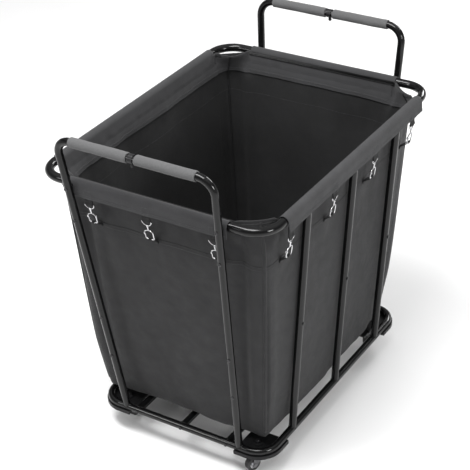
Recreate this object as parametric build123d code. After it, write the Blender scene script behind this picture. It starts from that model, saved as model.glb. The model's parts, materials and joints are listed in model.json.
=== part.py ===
from build123d import *
import os

os.makedirs("parts", exist_ok=True)

# Rolling laundry sorter: a bent steel tube frame on four swivel casters, with a removable fabric
# bag whose rim folds over the top ring and is held by snap hooks.
# Millimetres. +Z is up, the floor is z = 0. X runs across the short ends, Y along the length.
# The front end faces -Y, and the origin is on the floor under the middle of the frame.

# ---- frame -------------------------------------------------------------------------------------
WALL = 1.2                   # wall of every steel tube
TUBE_R = 9.5                 # base ring, legs, handles and side posts
RIM_R = 11.0                 # top ring tube
BASE_WIDTH, BASE_LENGTH, BASE_BEND, BASE_Z = 490.0, 688.0, 52.0, 79.0
TOP_WIDTH, TOP_LENGTH, TOP_BEND, TOP_Z = 618.0, 800.0, 60.0, 755.0
BAR_X = 134.0                # the outer two of the three lengthwise base bars
LEG_FOOT_X, LEG_RING_X = 168.0, 204.0
LEG_STAND_OFF = 25.0         # leg centre line outside the top ring's centre line
HANDLE_Z, HANDLE_BEND = 888.0, 40.0
LEG_JOINT_Z = 400.0
POST_Y = 218.0
POST_JOINT_Z = 428.0
SPIGOT = 34.0                # length that plugs into the next tube
FIT = 0.15                   # radial play of a plugged tube

# ---- grips and handle joint --------------------------------------------------------------------
GRIP_R, GRIP_INNER_X, GRIP_OUTER_X = 12.5, 11.0, 168.5
CLAMP_R, CLAMP_LENGTH = 10.9, 12.0

# ---- screws ------------------------------------------------------------------------------------
SCREW_R, HEAD_R, HEAD_HEIGHT, HOLE_PLAY = 2.4, 4.4, 2.4, 0.1
SHORT_SCREW, RING_SCREW = 13.0, 30.0   # the long ones run through a leg into the top ring
LEG_SCREW_Z = (667.0, 378.0, 256.0)
POST_SCREW_Z = 410.0
BUSH_R = 5.0                           # spacer bush round each long screw
CLAMP_BOLT_R = 2.8

# ---- corner plates and casters -----------------------------------------------------------------
PLATE_SPAN, PLATE_LIP = 99.0, 2.0
PLATE_BOTTOM_Z, PLATE_TOP_Z, PLATE_SKIN = 62.0, 72.0, 3.5
CASTER_X, CASTER_Y = 196.0, 301.0
TRAIL = 20.0                 # wheel axle behind the swivel axis
SWIVEL = {"front_left": 180, "front_right": -20, "rear_left": 28, "rear_right": 0}   # as they stand
WHEEL_R, TYRE_INNER_R, TYRE_WIDTH, HUB_WIDTH = 20.0, 13.0, 16.0, 19.0
AXLE_R, AXLE_PLAY = 3.0, 0.05
STEM_R = 4.0
CHEEK_GAP, CHEEK_THICK = 20.0, 2.0
CROWN_Z = 53.0               # underside of the fork's crown
PEDAL_PIVOT_Y, PEDAL_PIVOT_Z = -30.0, 47.0

# ---- bag ---------------------------------------------------------------------------------------
BAG_FLOOR_Z, BAG_SHOULDER_Z, BAG_RIM_Z = 89.0, 738.0, 767.0
BAG_FLOOR = (446.0, 602.0, 18.0)       # width, length and corner radius
BAG_SHOULDER = (586.0, 768.0, 22.0)
BAG_RIM = (592.0, 774.0, 84.0)
CLOTH = 2.0
COLLAR_CLOTH, COLLAR_HEM_Z = 1.3, 729.0
COLLAR_PLAY, COLLAR_LEAN = 0.15, 2.0   # off the ring, and how far the flap's hem hangs inwards
COLLAR_HALF_X, COLLAR_HALF_Y = 216.0, 328.0

# ---- snap hooks --------------------------------------------------------------------------------
HOOK_END_X = (-160.0, 0.0, 180.0)      # along each end
HOOK_SIDE_Y = (-316.0, -118.0, 80.0, 278.0)            # along each side
HOOK_TOP_Z = 714.0
HOOK_TILT = 10.0                       # lean of a clipped hook towards the bag wall
EYE_WIDTH, EYE_HEIGHT, EYE_BEND, WIRE_R = 27.0, 11.5, 2.0, 1.4
SWIVEL_R, SWIVEL_LENGTH, STEM_R_HOOK, STEM_GAP = 2.9, 3.4, 1.9, 0.3
RING_HALF, RING_TOP, RING_SHOULDER, RING_BOTTOM = 11.2, -26.0, -32.0, -52.0
RING_WIRE_R, SHOULDER_BEND, FOOT_BEND = 1.6, 4.0, 4.5
GATE_HINGE, GATE_END, GATE_R, NOSE_Z = -36.5, -46.4, 1.4, -46.8
TAB_WIDTH, TAB_LENGTH, WEB = 22.0, 15.0, 1.3
LOOP_WIDTH, LOOP_LENGTH, LOOP_TURN = 9.0, 16.0, 35.0   # the loop leaves the hook towards the wall

CORNERS = {"front_left": (-1, -1), "front_right": (1, -1), "rear_left": (-1, 1), "rear_right": (1, 1)}
UP = (Align.CENTER, Align.CENTER, Align.MIN)


def along(start, end):
    """Location at start whose Z axis points to end."""
    return Plane(origin=start, z_dir=Vector(*end) - Vector(*start)).location


def rod(start, end, radius):
    """Solid cylinder between two points."""
    return along(start, end) * Cylinder(radius, (Vector(*end) - Vector(*start)).length, align=UP)


def pipe(start, end, radius, bore):
    """Straight tube between two points."""
    return rod(start, end, radius) - rod(start, end, bore)


def bent_tube(points, bend, radius):
    """Tube through the points, with one bend radius at every corner."""
    path = FilletPolyline(*points, radius=bend)
    section = path ^ 0
    return sweep(section * Circle(radius), path=path) - sweep(section * Circle(radius - WALL), path=path)


def spigot(end, direction, radius):
    """Reduced end that plugs into the next tube; it starts inside its own tube and is one with it."""
    step = Vector(*direction).normalized()
    seat = Vector(*end) - step * SPIGOT / 2
    tip = Vector(*end) + step * SPIGOT
    bore = radius - 2 * WALL
    return (pipe(tuple(seat), end, radius - WALL, bore)
            + pipe(end, tuple(tip), radius - WALL - FIT, bore))


def leg_point(side, end, z):
    """Point at height z on the centre line of a leg; side and end are -1 or 1."""
    t = (z - BASE_Z) / (TOP_Z - BASE_Z)
    y = BASE_LENGTH / 2 + t * (TOP_LENGTH / 2 + LEG_STAND_OFF - BASE_LENGTH / 2)
    return (side * (LEG_FOOT_X + t * (LEG_RING_X - LEG_FOOT_X)), end * y, z)


def post_point(side, y, z):
    """Point at height z on the centre line of a side post."""
    t = (z - BASE_Z) / (TOP_Z - BASE_Z)
    return (side * (BASE_WIDTH / 2 + t * (TOP_WIDTH - BASE_WIDTH) / 2), y, z)


def outward(point, foot, guess):
    """Unit vector square to the tube that runs from foot to point, nearest to the guess."""
    axis = (Vector(*point) - Vector(*foot)).normalized()
    guess = Vector(*guess)
    return (guess - axis * guess.dot(axis)).normalized()


# ---- screws: each is a point under its head, the way its shank runs, and its length --------------
def leg_screw(side, end, z, length):
    point = leg_point(side, end, z)
    out = outward(point, leg_point(side, end, BASE_Z), (0, end, 0))
    return Vector(*point) + out * TUBE_R, -out, length


def post_screw(side, y):
    point = post_point(side, y, POST_SCREW_Z)
    out = outward(point, post_point(side, y, BASE_Z), (side, 0, 0))
    return Vector(*point) + out * TUBE_R, -out, SHORT_SCREW


def screw_places():
    places = []
    for side, end in CORNERS.values():
        places.append(leg_screw(side, end, TOP_Z, RING_SCREW))
        places += [leg_screw(side, end, z, SHORT_SCREW) for z in LEG_SCREW_Z]
    for side in (-1, 1):
        for y in (-POST_Y, 0, POST_Y):
            places.append(post_screw(side, y))
            under = Vector(side * BASE_WIDTH / 2, y, BASE_Z - TUBE_R)
            places.append((under, Vector(0, 0, 1), SHORT_SCREW))
    for end in (-1, 1):
        for x in (-BAR_X, 0, BAR_X):
            face = Vector(x, end * (BASE_LENGTH / 2 + TUBE_R), BASE_Z)
            places.append((face, Vector(0, -end, 0), SHORT_SCREW))
    return places


def screw(place, way, length):
    """Cross-slotted pan head and plain shank."""
    head = Cylinder(HEAD_R, HEAD_HEIGHT, align=UP)
    head = fillet(head.edges().group_by(Axis.Z)[-1], 1.2)
    slot = Box(4.6, 0.9, 2, align=UP) + Box(0.9, 4.6, 2, align=UP)
    head -= Pos(0, 0, HEAD_HEIGHT - 0.9) * slot
    head = Plane(origin=place, z_dir=-way).location * head
    return head + rod(place, place + way * length, SCREW_R)


def screw_hole(place, way, length):
    return rod(place - way, place + way * (length + 1), SCREW_R + HOLE_PLAY)


HOLES = [screw_hole(*spot) for spot in screw_places()]


def drilled(part):
    """The part with the hole of every screw that reaches it."""
    box = part.bounding_box()
    for hole in HOLES:
        reach = hole.bounding_box()
        if (reach.min.X < box.max.X and reach.max.X > box.min.X and reach.min.Y < box.max.Y
                and reach.max.Y > box.min.Y and reach.min.Z < box.max.Z and reach.max.Z > box.min.Z):
            part -= hole
    return part


# ---- frame tubes -------------------------------------------------------------------------------
def half_ring(width, length, bend, z, radius, end):
    """One U-shaped half of a ring; the rear half has the plug-in ends."""
    gap = 0.2
    corners = [(-width / 2, end * gap, z), (-width / 2, end * length / 2, z),
               (width / 2, end * length / 2, z), (width / 2, end * gap, z)]
    ring = bent_tube(corners, bend, radius)
    if end > 0:
        for x in (-width / 2, width / 2):
            ring += spigot((x, gap, z), (0, -1, 0), radius)
    return ring


def base_bars():
    """Three lengthwise bars that the bag stands on."""
    reach = BASE_LENGTH / 2
    bars = []
    for x in (-BAR_X, 0, BAR_X):
        bar = pipe((x, -reach, BASE_Z), (x, reach, BASE_Z), TUBE_R, TUBE_R - WALL)
        for end in (-1, 1):
            bar -= rod((x - 30, end * reach, BASE_Z), (x + 30, end * reach, BASE_Z), TUBE_R + 0.1)
        bars.append(drilled(bar))
    return bars


def handle_tube(side, end):
    """Half of a push handle: half the grip bar, a bend and the upper leg with its plug-in end."""
    corner = leg_point(side, end, HANDLE_Z)
    foot = leg_point(side, end, LEG_JOINT_Z)
    tube = bent_tube([(side * 0.3, corner[1], HANDLE_Z), corner, foot], HANDLE_BEND, TUBE_R)
    tube -= rod((0, corner[1], HANDLE_Z - 25), (0, corner[1], HANDLE_Z), CLAMP_BOLT_R + HOLE_PLAY)
    down = Vector(*leg_point(side, end, BASE_Z)) - Vector(*foot)
    return tube + spigot(foot, tuple(down), TUBE_R)


def lower_leg(side, end):
    """Leg from its joint down to a saddle on the base ring."""
    top = leg_point(side, end, LEG_JOINT_Z - 0.3)
    foot = leg_point(side, end, BASE_Z)
    leg = pipe(foot, top, TUBE_R, TUBE_R - WALL)
    ring_y = end * BASE_LENGTH / 2
    return leg - rod((foot[0] - 40, ring_y, BASE_Z), (foot[0] + 40, ring_y, BASE_Z), TUBE_R + 0.1)


def side_post(side, y):
    """A post in two plugged lengths, saddled on the base ring and under the top ring."""
    foot = post_point(side, y, BASE_Z)
    joint = post_point(side, y, POST_JOINT_Z)
    above = post_point(side, y, POST_JOINT_Z + 0.3)
    top = post_point(side, y, TOP_Z)
    lower = pipe(foot, joint, TUBE_R, TUBE_R - WALL)
    lower -= rod((foot[0], y - 30, BASE_Z), (foot[0], y + 30, BASE_Z), TUBE_R + 0.1)
    down = Vector(*foot) - Vector(*above)
    upper = pipe(above, top, TUBE_R, TUBE_R - WALL)
    upper -= rod((top[0], y - 30, TOP_Z), (top[0], y + 30, TOP_Z), RIM_R + 0.1)
    upper += spigot(above, tuple(down), TUBE_R)
    return [lower, upper]


def leg_bush_space(side, end, radius):
    """Round space from a leg's centre line to the top ring's, along the long screw."""
    place, way, _ = leg_screw(side, end, TOP_Z, RING_SCREW)
    start = place + way * TUBE_R
    return rod(start, start + way * LEG_STAND_OFF, radius)


def leg_spacer(side, end):
    """Bush between a leg and the top ring, where the leg is screwed to the ring."""
    x, y, z = leg_point(side, end, TOP_Z)
    ring_y = end * TOP_LENGTH / 2
    bush = leg_bush_space(side, end, BUSH_R)
    bush -= rod((x - 20, ring_y, z), (x + 20, ring_y, z), RIM_R + 0.1)
    bush -= rod(leg_point(side, end, z - 40), leg_point(side, end, z + 40), TUBE_R + 0.1)
    return drilled(bush)


def handle_joiner(end):
    """Inner sleeve and outer clamp band that join the two halves of a handle with one bolt."""
    y = leg_point(1, end, HANDLE_Z)[1]
    bore = TUBE_R - 2 * WALL
    sleeve = pipe((-40, y, HANDLE_Z), (40, y, HANDLE_Z), TUBE_R - WALL - FIT, bore)
    band = pipe((-CLAMP_LENGTH / 2, y, HANDLE_Z), (CLAMP_LENGTH / 2, y, HANDLE_Z), CLAMP_R, TUBE_R + 0.1)
    bolt_hole = rod((0, y, HANDLE_Z - 25), (0, y, HANDLE_Z), CLAMP_BOLT_R + HOLE_PLAY)
    knob_top = HANDLE_Z - CLAMP_R - 0.2
    bolt = rod((0, y, knob_top - 9), (0, y, knob_top), 4.2)
    bolt = fillet(bolt.edges().group_by(Axis.Z)[0], 1.5)
    bolt += rod((0, y, knob_top), (0, y, HANDLE_Z - 2), CLAMP_BOLT_R)
    return [sleeve - bolt_hole, band - bolt_hole, bolt]


def foam_grip(side, end):
    """Foam sleeve on one half of a handle, with rounded ends."""
    y = leg_point(1, end, HANDLE_Z)[1]
    inner, outer = (side * GRIP_INNER_X, y, HANDLE_Z), (side * GRIP_OUTER_X, y, HANDLE_Z)
    sleeve = rod(inner, outer, GRIP_R)
    sleeve = fillet(sleeve.edges().filter_by(GeomType.CIRCLE), 1.6)
    return sleeve - rod(inner, outer, TUBE_R + 0.05)


# ---- corner plates -----------------------------------------------------------------------------
def plate_outline(inset):
    """Plan of a plate in the +X +Y corner: square inside, round at the ring's corner."""
    reach_x = BASE_WIDTH / 2 + TUBE_R + PLATE_LIP - inset
    reach_y = BASE_LENGTH / 2 + TUBE_R + PLATE_LIP - inset
    span = PLATE_SPAN - 2 * inset
    plan = Pos(reach_x - span / 2, reach_y - span / 2) * Rectangle(span, span)
    corners = plan.vertices().sort_by(lambda v: v.X + v.Y)
    plan = fillet(corners[-1], BASE_BEND + TUBE_R + PLATE_LIP - inset)
    return fillet(plan.vertices().sort_by(lambda v: v.X + v.Y)[0], 12 - inset / 2)


def corner_plate():
    """Moulded plate under a corner of the base ring, hollow below, with ribs round a stem boss."""
    height = PLATE_TOP_Z - PLATE_BOTTOM_Z
    plate = Pos(0, 0, PLATE_BOTTOM_Z) * extrude(plate_outline(0), height)
    pocket = Pos(0, 0, PLATE_BOTTOM_Z) * extrude(plate_outline(PLATE_SKIN), height - PLATE_SKIN)
    boss = Pos(CASTER_X, CASTER_Y, PLATE_BOTTOM_Z) * Cylinder(17, height - PLATE_SKIN, align=UP)
    ribs = boss
    for turn in (0, 45, 90, 135):
        rib = Pos(CASTER_X, CASTER_Y, PLATE_BOTTOM_Z) * Rot(0, 0, turn) * Box(150, 2.4, 6, align=UP)
        ribs += rib & pocket
    plate = plate - pocket + ribs
    plate += Pos(CASTER_X, CASTER_Y, PLATE_TOP_Z) * Cylinder(14, 2.5, align=UP)
    groove_path = FilletPolyline((BASE_WIDTH / 2, 200, BASE_Z), (BASE_WIDTH / 2, BASE_LENGTH / 2, BASE_Z),
                                 (100, BASE_LENGTH / 2, BASE_Z), radius=BASE_BEND)
    plate -= sweep((groove_path ^ 0) * Circle(TUBE_R + 0.1), path=groove_path)
    return plate - Pos(CASTER_X, CASTER_Y, 40) * Cylinder(STEM_R + 0.1, 60, align=UP)


def mirrored(part, side, end):
    if side < 0:
        part = mirror(part, about=Plane.YZ)
    if end < 0:
        part = mirror(part, about=Plane.XZ)
    return part


# ---- casters: built with the swivel axis on Z, the wheel trailing towards -Y ---------------------
def caster_stem():
    """Bolt that the fork turns on, with a nut above the plate and a spacing washer below it."""
    bottom = CROWN_Z - 2.6
    stem = Pos(0, 0, bottom) * Cylinder(STEM_R, 84 - bottom, align=UP)
    stem += Pos(0, 0, bottom - 2.2) * Cylinder(7.5, 2.2, align=UP)
    nut = Pos(0, 0, PLATE_TOP_Z + 2.5) * extrude(RegularPolygon(7.4, 6), 6)
    washer = Pos(0, 0, PLATE_BOTTOM_Z - 1.5) * Cylinder(9.0, 1.5, align=UP)
    return stem + nut + washer


def caster_fork():
    """Swivel race, crown and two tapering cheeks."""
    crown = Pos(0, -1.5, CROWN_Z) * extrude(RectangleRounded(24, 30, 8), 2.4)
    race = Pos(0, 0, CROWN_Z + 2.4) * Cylinder(14.5, 3.2, align=UP)
    cap = Pos(0, 0, CROWN_Z + 5.6) * Cone(12.5, 10.5, 1.4, align=UP)
    fork = crown + race + cap
    cheek = make_hull((Pos(-TRAIL, WHEEL_R) * Circle(8)
                       + Pos(-1.5, CROWN_Z - 3) * Rectangle(29, 9)).edges())
    for side in (-1, 1):
        plate = extrude(Plane.YZ * cheek, CHEEK_THICK)
        fork += Pos(side * (CHEEK_GAP + CHEEK_THICK) / 2 - CHEEK_THICK / 2, 0, 0) * plate
    fork -= Pos(0, 0, CROWN_Z - 1) * Cylinder(STEM_R + AXLE_PLAY, 12, align=UP)
    axle_hole = rod((-30, -TRAIL, WHEEL_R), (30, -TRAIL, WHEEL_R), AXLE_R + 0.02)
    return fork - axle_hole


def caster_axle():
    """Riveted pin, fixed in the cheeks."""
    reach = CHEEK_GAP / 2 + CHEEK_THICK + 0.02
    tip = reach + 1.6
    pin = rod((-tip, -TRAIL, WHEEL_R), (tip, -TRAIL, WHEEL_R), AXLE_R)
    for side in (-1, 1):
        pin += rod((side * reach, -TRAIL, WHEEL_R), (side * tip, -TRAIL, WHEEL_R), 5.0)
    return pin


def wheel_hub():
    """Hub with a recessed face each side and a running bore."""
    half = HUB_WIDTH / 2
    hub = rod((-half, 0, 0), (half, 0, 0), 5.5) + rod((-7, 0, 0), (7, 0, 0), TYRE_INNER_R)
    for side in (-1, 1):
        recess = pipe((side * 5, 0, 0), (side * 8, 0, 0), TYRE_INNER_R - 2, 5.5)
        hub -= recess
    hub -= rod((-half - 1, 0, 0), (half + 1, 0, 0), AXLE_R + AXLE_PLAY)
    return Pos(0, -TRAIL, WHEEL_R) * hub


def wheel_tyre():
    """Rubber tyre with rounded shoulders and two tread grooves."""
    half = TYRE_WIDTH / 2
    tyre = rod((-half, 0, 0), (half, 0, 0), WHEEL_R)
    tyre = fillet(tyre.edges().filter_by(GeomType.CIRCLE), 2.5)
    tyre -= rod((-half - 1, 0, 0), (half + 1, 0, 0), TYRE_INNER_R + 0.02)
    for x in (-2.6, 2.6):
        tyre -= pipe((x - 0.5, 0, 0), (x + 0.5, 0, 0), WHEEL_R + 1, WHEEL_R - 0.7)
    return Pos(0, -TRAIL, WHEEL_R) * tyre


def brake_pedal():
    """Foot pedal on a cross pin, with a shoe over the tyre."""
    pin_y, pin_z = PEDAL_PIVOT_Y, PEDAL_PIVOT_Z
    profile = Polyline((pin_y + 4, pin_z + 2.4), (pin_y - 6, pin_z + 3.4), (pin_y - 25, pin_z + 1.5),
                       (pin_y - 31, pin_z + 4.5), (pin_y - 32.5, pin_z + 2.0), (pin_y - 26, pin_z - 2.2),
                       (pin_y - 11, pin_z - 3.0), (pin_y - 7.5, pin_z - 10), (pin_y - 1, pin_z - 4.2),
                       (pin_y + 4, pin_z - 2), close=True)
    plan = make_face(Plane.YZ * profile)
    pedal = Pos(-8.5, 0, 0) * extrude(plan, 17)
    pedal += rod((-11.8, pin_y, pin_z), (11.8, pin_y, pin_z), 2.0)
    for x in (-4, 0, 4):
        pedal -= Pos(x, pin_y - 18, pin_z + 2.3) * Rot(-5.7, 0, 0) * Box(1.6, 12, 0.9, align=UP)
    return pedal


def braked_fork():
    """Fork whose cheeks run back to carry the pedal's pin."""
    fork = caster_fork()
    pin_y, pin_z = PEDAL_PIVOT_Y, PEDAL_PIVOT_Z
    ear = make_hull((Pos(pin_y, pin_z) * Circle(4.5) + Pos(-12, CROWN_Z - 4) * Rectangle(8, 9)).edges())
    for side in (-1, 1):
        plate = extrude(Plane.YZ * ear, CHEEK_THICK)
        fork += Pos(side * (CHEEK_GAP + CHEEK_THICK) / 2 - CHEEK_THICK / 2, 0, 0) * plate
    return fork - rod((-30, pin_y, pin_z), (30, pin_y, pin_z), 2.0 + AXLE_PLAY)


# ---- bag ---------------------------------------------------------------------------------------
def bag_section(size, z, inset):
    width, length, corner = size
    return Pos(0, 0, z) * RectangleRounded(width - 2 * inset, length - 2 * inset, corner - inset)


def bag_body():
    """Tapered open bag; above its shoulder the rim corners are cut round inside the ring."""
    def stack(inset, floor_z, rim_z):
        wall = loft([bag_section(BAG_FLOOR, floor_z, inset),
                     bag_section(BAG_SHOULDER, BAG_SHOULDER_Z, inset)], ruled=True)
        rim = loft([bag_section(BAG_SHOULDER, BAG_SHOULDER_Z, inset),
                    bag_section(BAG_RIM, rim_z, inset)], ruled=True)
        return wall + rim
    hollow = stack(CLOTH, BAG_FLOOR_Z + CLOTH, BAG_RIM_Z)
    return stack(0, BAG_FLOOR_Z, BAG_RIM_Z) - hollow


def collar(half_span, reach):
    """Cloth folded over a straight of the top ring, centred on the ring tube along X at y = -reach.
    It wraps the tube from inside to outside and hangs down outside as a hemmed flap."""
    inner, outer = RIM_R + COLLAR_PLAY, RIM_R + COLLAR_PLAY + COLLAR_CLOTH
    wrap = pipe((-half_span, 0, 0), (half_span, 0, 0), outer, inner)
    wrap -= Pos(0, 0, -outer) * Box(2 * half_span + 2, 2 * outer + 2, outer, align=UP)
    drop = TOP_Z - COLLAR_HEM_Z
    hem = -inner + COLLAR_LEAN
    flap = Polyline((-outer, 0), (-inner, 0), (hem, -drop), (hem - COLLAR_CLOTH, -drop), close=True)
    flap = extrude(make_face(Plane.YZ * flap), half_span, both=True)
    return Pos(0, -reach, TOP_Z) * (wrap + flap)


def bag_collars():
    """The four folded rims; the two end ones have holes where the legs are screwed on."""
    pieces = []
    for end in (-1, 1):
        piece = collar(COLLAR_HALF_X, TOP_LENGTH / 2)
        for side in (-1, 1):
            piece -= leg_bush_space(side, -1, BUSH_R + 0.5)
        pieces.append(piece if end < 0 else Rot(0, 0, 180) * piece)
        pieces.append(Rot(0, 0, 90 * end) * collar(COLLAR_HALF_Y, TOP_WIDTH / 2))
    return pieces


# ---- snap hooks --------------------------------------------------------------------------------
def hook_places():
    """Locations of the hooks: at the eye's cross bar, Z along the leaning hook, Y into the bag."""
    stand_off = RIM_R + COLLAR_PLAY - COLLAR_LEAN + WIRE_R + 0.4
    places = []
    for turn in (0, 90, 180, 270):
        at_end = turn in (0, 180)
        reach = (TOP_LENGTH if at_end else TOP_WIDTH) / 2
        for spot in HOOK_END_X if at_end else HOOK_SIDE_Y:
            eye = Pos(spot, -reach - stand_off, HOOK_TOP_Z)
            places.append(Rot(0, 0, turn) * eye * Rot(HOOK_TILT, 0, 0))
    return places


def hook_eye():
    """Wire bow whose straight bar sits in the webbing tab, with the swivel's collar under it."""
    bow = ThreePointArc((-EYE_WIDTH / 2, 0), (0, -EYE_HEIGHT), (EYE_WIDTH / 2, 0))
    plan = make_face(bow + Line((EYE_WIDTH / 2, 0), (-EYE_WIDTH / 2, 0)))
    plan = fillet(plan.vertices(), EYE_BEND)
    path = (Plane.XZ * plan).wire()
    eye = sweep((path ^ 0) * Circle(WIRE_R), path=path)
    return eye + rod((0, 0, -EYE_HEIGHT - SWIVEL_LENGTH), (0, 0, -EYE_HEIGHT - WIRE_R / 2), SWIVEL_R)


def hook_frame():
    """Swivel stem and a closed wire ring, cut open on one side between two ears that carry the gate's
    pin and the nose that the gate shuts on."""
    arch = ThreePointArc((-RING_HALF, RING_SHOULDER), (0, RING_TOP), (RING_HALF, RING_SHOULDER))
    foot = Polyline((RING_HALF, RING_SHOULDER), (RING_HALF, RING_BOTTOM), (-RING_HALF, RING_BOTTOM),
                    (-RING_HALF, RING_SHOULDER))
    plan = make_face(arch + foot)
    low = plan.vertices().group_by(Axis.Y)[0]
    plan = fillet(low, FOOT_BEND)
    plan = fillet(plan.vertices().group_by(Axis.Y)[-1], SHOULDER_BEND)
    path = (Plane.XZ * plan).wire()
    body = sweep((path ^ 0) * Circle(RING_WIRE_R), path=path)
    body += rod((0, 0, RING_TOP), (0, 0, -EYE_HEIGHT - SWIVEL_LENGTH - STEM_GAP), STEM_R_HOOK)
    ears_bottom = GATE_HINGE - 2.2
    gap = Box(4 * RING_WIRE_R, 4 * RING_WIRE_R, GATE_HINGE + 2.0 - NOSE_Z, align=UP)
    body -= Pos(-RING_HALF, 0, NOSE_Z) * gap
    for side in (-1, 1):
        body += Pos(-RING_HALF, side * 2.05, ears_bottom) * Box(3.2, 1.0, 5.4, align=UP)
    return body + rod((-RING_HALF, -2.5, GATE_HINGE), (-RING_HALF, 2.5, GATE_HINGE), 0.6)


def hook_gate():
    """Sprung gate on its pin; it closes the hook between the ears and the nose."""
    gate = rod((-RING_HALF, 0, GATE_END), (-RING_HALF, 0, GATE_HINGE), GATE_R)
    gate += Pos(-RING_HALF, 0, GATE_HINGE) * Sphere(GATE_R)
    return gate - rod((-RING_HALF, -3, GATE_HINGE), (-RING_HALF, 3, GATE_HINGE), 0.65)


def webbing(width, turn, length):
    """Strap sewn flat at one end and folded round a wire on X at the other, leaving it at an angle."""
    sleeve = pipe((-width / 2, 0, 0), (width / 2, 0, 0), WIRE_R + 0.4 + WEB, WIRE_R + 0.35)
    strap = Pos(0, WIRE_R + 0.4 + WEB / 2, WEB) * Box(width, WEB, length, align=UP)
    return Rot(turn, 0, 0) * (sleeve + strap)


def write(node, parts):
    """Write one sub-part; a group of like pieces goes out as separate solids of one node."""
    solids = parts if isinstance(parts, list) else [parts]
    solids = [solid for part in solids for solid in part.solids()]
    shape = solids[0] if len(solids) == 1 else Compound(children=solids)
    export_step(shape, f"parts/{node}.step")


def main():
    for name, end in (("front", -1), ("rear", 1)):
        write(f"base_ring_{name}", drilled(half_ring(BASE_WIDTH, BASE_LENGTH, BASE_BEND, BASE_Z, TUBE_R, end)))
        write(f"top_ring_{name}", drilled(half_ring(TOP_WIDTH, TOP_LENGTH, TOP_BEND, TOP_Z, RIM_R, end)))
        write(f"lower_legs_{name}", [drilled(lower_leg(side, end)) for side in (-1, 1)])
        write(f"foam_grips_{name}", [foam_grip(side, end) for side in (-1, 1)])
    write("base_bars", base_bars())
    for name, (side, end) in CORNERS.items():
        write(f"handle_tube_{name}", drilled(handle_tube(side, end)))
        write(f"corner_plate_{name}", mirrored(corner_plate(), side, end))
    for name, side in (("left", -1), ("right", 1)):
        for place, row in (("front", -1), ("middle", 0), ("rear", 1)):
            write(f"side_post_{name}_{place}", [drilled(tube) for tube in side_post(side, row * POST_Y)])
    write("handle_joiners", handle_joiner(-1) + handle_joiner(1))
    write("leg_spacers", [leg_spacer(side, end) for side, end in CORNERS.values()])
    write("frame_screws", [screw(*spot) for spot in screw_places()])

    stems = []
    for name, (side, end) in CORNERS.items():
        at = Pos(side * CASTER_X, end * CASTER_Y, 0) * Rot(0, 0, SWIVEL[name])
        stems.append(at * caster_stem())
        fork = braked_fork() if end > 0 else caster_fork()
        write(f"caster_fork_{name}", [at * fork, at * caster_axle()])
        write(f"wheel_hub_{name}", at * wheel_hub())
        write(f"wheel_tyre_{name}", at * wheel_tyre())
        if end > 0:
            write(f"brake_pedal_{name}", at * brake_pedal())
    write("caster_stems", stems)

    write("bag_body", bag_body())
    write("bag_collars", bag_collars())
    places = hook_places()
    bottom_bar = Pos(0, 0, RING_BOTTOM)
    tabs = [place * webbing(TAB_WIDTH, -HOOK_TILT, TAB_LENGTH) for place in places]
    loops = [place * bottom_bar * webbing(LOOP_WIDTH, 180 + LOOP_TURN, LOOP_LENGTH) for place in places]
    write("hook_webbing", tabs + loops)
    write("snap_hook_eyes", [place * hook_eye() for place in places])
    write("snap_hook_frames", [place * hook_frame() for place in places])
    for number, place in enumerate(places, start=1):
        write(f"hook_gate_{number:02d}", place * hook_gate())


main()
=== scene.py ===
import json
from math import atan2, cos, exp, pi, radians, sin, sqrt

import bpy
from mathutils import Matrix, Vector, noise


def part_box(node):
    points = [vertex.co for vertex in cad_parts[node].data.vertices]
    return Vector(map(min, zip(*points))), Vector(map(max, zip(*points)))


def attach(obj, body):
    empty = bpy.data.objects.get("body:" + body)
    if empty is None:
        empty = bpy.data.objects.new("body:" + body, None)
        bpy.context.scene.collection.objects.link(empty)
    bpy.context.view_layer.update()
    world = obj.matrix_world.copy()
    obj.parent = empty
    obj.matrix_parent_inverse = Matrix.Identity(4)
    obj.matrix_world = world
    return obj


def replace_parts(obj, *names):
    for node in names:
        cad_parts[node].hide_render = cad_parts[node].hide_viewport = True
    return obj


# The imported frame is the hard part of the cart: tubes, plates, casters and snap hooks keep their CAD
# meshes and get materials here. The bag, its folded collars, the webbing and the foam grips are soft,
# so they are modelled here as cloth, straps and foam, in metres, in the frame's own place.
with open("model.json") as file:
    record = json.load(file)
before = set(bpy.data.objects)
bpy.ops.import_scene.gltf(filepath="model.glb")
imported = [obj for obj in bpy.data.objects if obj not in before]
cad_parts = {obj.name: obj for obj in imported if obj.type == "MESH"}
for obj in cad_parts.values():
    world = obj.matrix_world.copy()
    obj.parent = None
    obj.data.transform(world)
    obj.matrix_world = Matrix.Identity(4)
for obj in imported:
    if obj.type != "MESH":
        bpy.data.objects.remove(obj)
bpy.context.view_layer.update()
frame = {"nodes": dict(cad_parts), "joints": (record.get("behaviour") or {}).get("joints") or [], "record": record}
NODES = frame["nodes"]
SLOT_OF = {part["node"]: part["material_slot"] for part in frame["record"]["subparts"]}

# ---- sizes taken from the frame ----
RING_LOW, RING_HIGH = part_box("top_ring_front")
RIM_R = (RING_HIGH.z - RING_LOW.z) / 2               # top ring tube
RING_Z = (RING_HIGH.z + RING_LOW.z) / 2
RING_X = RING_HIGH.x - RIM_R                         # half width of its centre line
RING_Y = -RING_LOW.y - RIM_R                         # half length of its centre line
BAG_LOW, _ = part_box("bag_body")
BAR_LOW, BAR_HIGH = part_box("base_bars")
BASE_LOW, BASE_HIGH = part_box("base_ring_front")
TUBE_R = (BASE_HIGH.z - BASE_LOW.z) / 2
BASE_Z = (BASE_HIGH.z + BASE_LOW.z) / 2

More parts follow.
